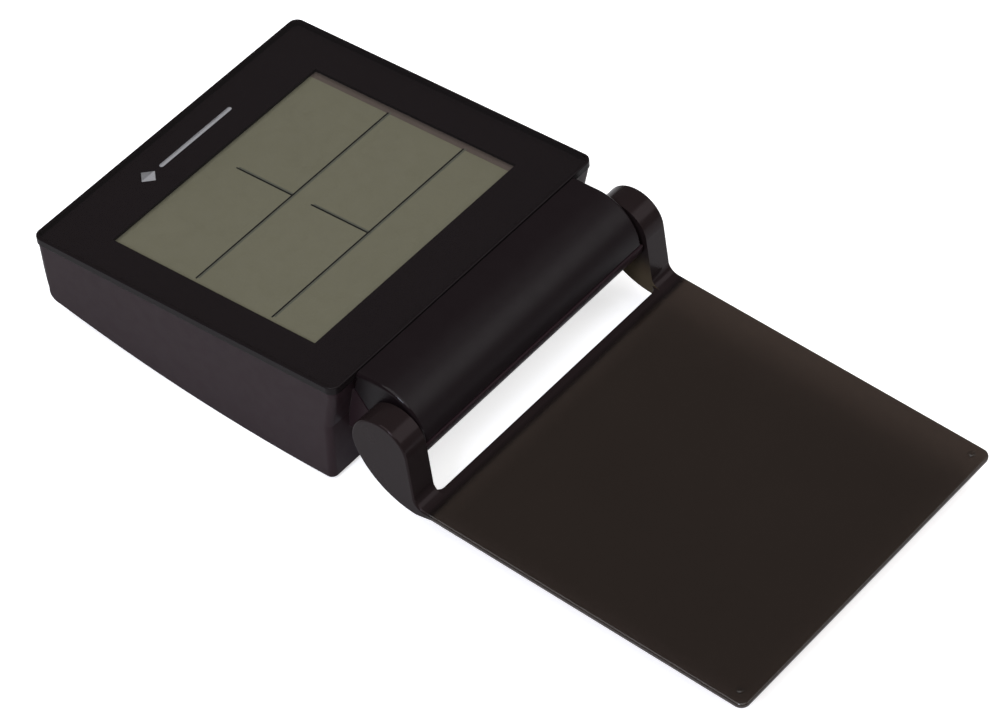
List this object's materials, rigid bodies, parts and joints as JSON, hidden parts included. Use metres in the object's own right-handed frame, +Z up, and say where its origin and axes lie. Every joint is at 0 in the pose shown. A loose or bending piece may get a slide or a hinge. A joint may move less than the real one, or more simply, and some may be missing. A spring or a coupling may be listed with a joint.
{
  "type": "folding travel alarm clock",
  "caption": "Folding travel alarm clock: wedge body with square display, snooze barrel, and a smoked flip cover turning on two side arms.",
  "frame": {"origin": "centre of the bounding box's foot: the clock rests on its convex back at z = 0, cover open behind it and level", "axes": "+X along the hinge, +Y from the cover towards the display's far edge, +Z up"},
  "size_m": [0.09, 0.1952, 0.0317],
  "materials": {
    "gloss_black": "gloss",
    "clear_acrylic": "polished",
    "black_print": "smooth",
    "display_film": "satin",
    "display_glass": "polished",
    "light_plastic": "satin",
    "white_plastic": "matte",
    "satin_black": "fine texture",
    "bar_black": "satin",
    "smoked_clear": "smoked, polished",
    "bumper_clear": "soft",
    "board_green": "solder mask",
    "epoxy_black": "potting resin",
    "bright_steel": "bright",
    "nickel": "plated",
    "brass_disc": "satin",
    "connector_rubber": "matte",
    "acetal": "matte",
    "cell_sleeve": "printed sleeve",
    "button_grey": "matte",
    "lead_red": "pvc",
    "lead_black": "pvc",
    "sensor_black": "epoxy bead"
  },
  "bodies": {
    "clock": {"front_frame": "gloss_black", "front_lens": "clear_acrylic", "lens_print": "black_print", "lcd_front_polariser": "display_film", "lcd_front_glass": "display_glass", "lcd_rear_glass": "display_glass", "lcd_rear_polariser": "display_film", "light_guide": "light_plastic", "backlight_lamps": "white_plastic", "lcd_tray": "white_plastic", "zebra_strips": "connector_rubber", "main_board": "board_green", "board_screws": "bright_steel", "clock_chip": "epoxy_black", "quartz_crystal": "nickel", "temperature_sensor": "sensor_black", "button_switches": "satin_black", "alarm_switch_case": "nickel", "rear_housing": "satin_black", "housing_screws": "bright_steel", "piezo_sounder": "brass_disc", "battery_cell_1": "cell_sleeve", "battery_cell_2": "cell_sleeve", "battery_plates": "nickel", "battery_springs": "nickel", "snooze_board": "board_green", "snooze_switches": "satin_black", "battery_lead_red": "lead_red", "battery_lead_black": "lead_black", "snooze_lead_1": "lead_black", "snooze_lead_2": "lead_black", "hinge_bushes": "acetal", "friction_washers": "bright_steel"},
    "cover": {"cover": "smoked_clear", "cover_bumpers": "bumper_clear", "hinge_pins": "bright_steel", "pin_clips": "bright_steel"},
    "snooze_bar": {"snooze_bar": "bar_black"},
    "battery_door": {"battery_door": "satin_black"},
    "mode_button": {"mode_button": "button_grey"},
    "down_button": {"down_button": "button_grey"},
    "up_button": {"up_button": "button_grey"},
    "alarm_button": {"alarm_button": "button_grey"},
    "alarm_switch_knob": {"alarm_switch_knob": "button_grey"}
  },
  "joints": [
    {"name": "cover_hinge", "type": "hinge", "parent": "clock", "child": "cover", "pos_m": [0, -0.00109, 0.02148], "axis": [1, 0, 0], "range_deg": [-185.65, 80]},
    {"name": "snooze_press", "type": "slide", "parent": "clock", "child": "snooze_bar", "axis": [0, -0.0985, -0.9951], "range_m": [0, 0.0003], "stiffness_N_per_m": 2500, "springref_m": -0.0002},
    {"name": "door_slide", "type": "slide", "parent": "clock", "child": "battery_door", "axis": [0, 0.9988, -0.048], "range_m": [-0.008, 0]},
    {"name": "mode_press", "type": "slide", "parent": "clock", "child": "mode_button", "axis": [0, 0.0985, 0.9951], "range_m": [0, 0.0003], "stiffness_N_per_m": 2000, "springref_m": -0.0002},
    {"name": "down_press", "type": "slide", "parent": "clock", "child": "down_button", "axis": [0, 0.0985, 0.9951], "range_m": [0, 0.0003], "stiffness_N_per_m": 2000, "springref_m": -0.0002},
    {"name": "up_press", "type": "slide", "parent": "clock", "child": "up_button", "axis": [0, 0.0985, 0.9951], "range_m": [0, 0.0003], "stiffness_N_per_m": 2000, "springref_m": -0.0002},
    {"name": "alarm_press", "type": "slide", "parent": "clock", "child": "alarm_button", "axis": [0, 0.0985, 0.9951], "range_m": [0, 0.0003], "stiffness_N_per_m": 2000, "springref_m": -0.0002},
    {"name": "alarm_switch_slide", "type": "slide", "parent": "clock", "child": "alarm_switch_knob", "axis": [1, 0, 0], "range_m": [0, 0.0022]}
  ]
}
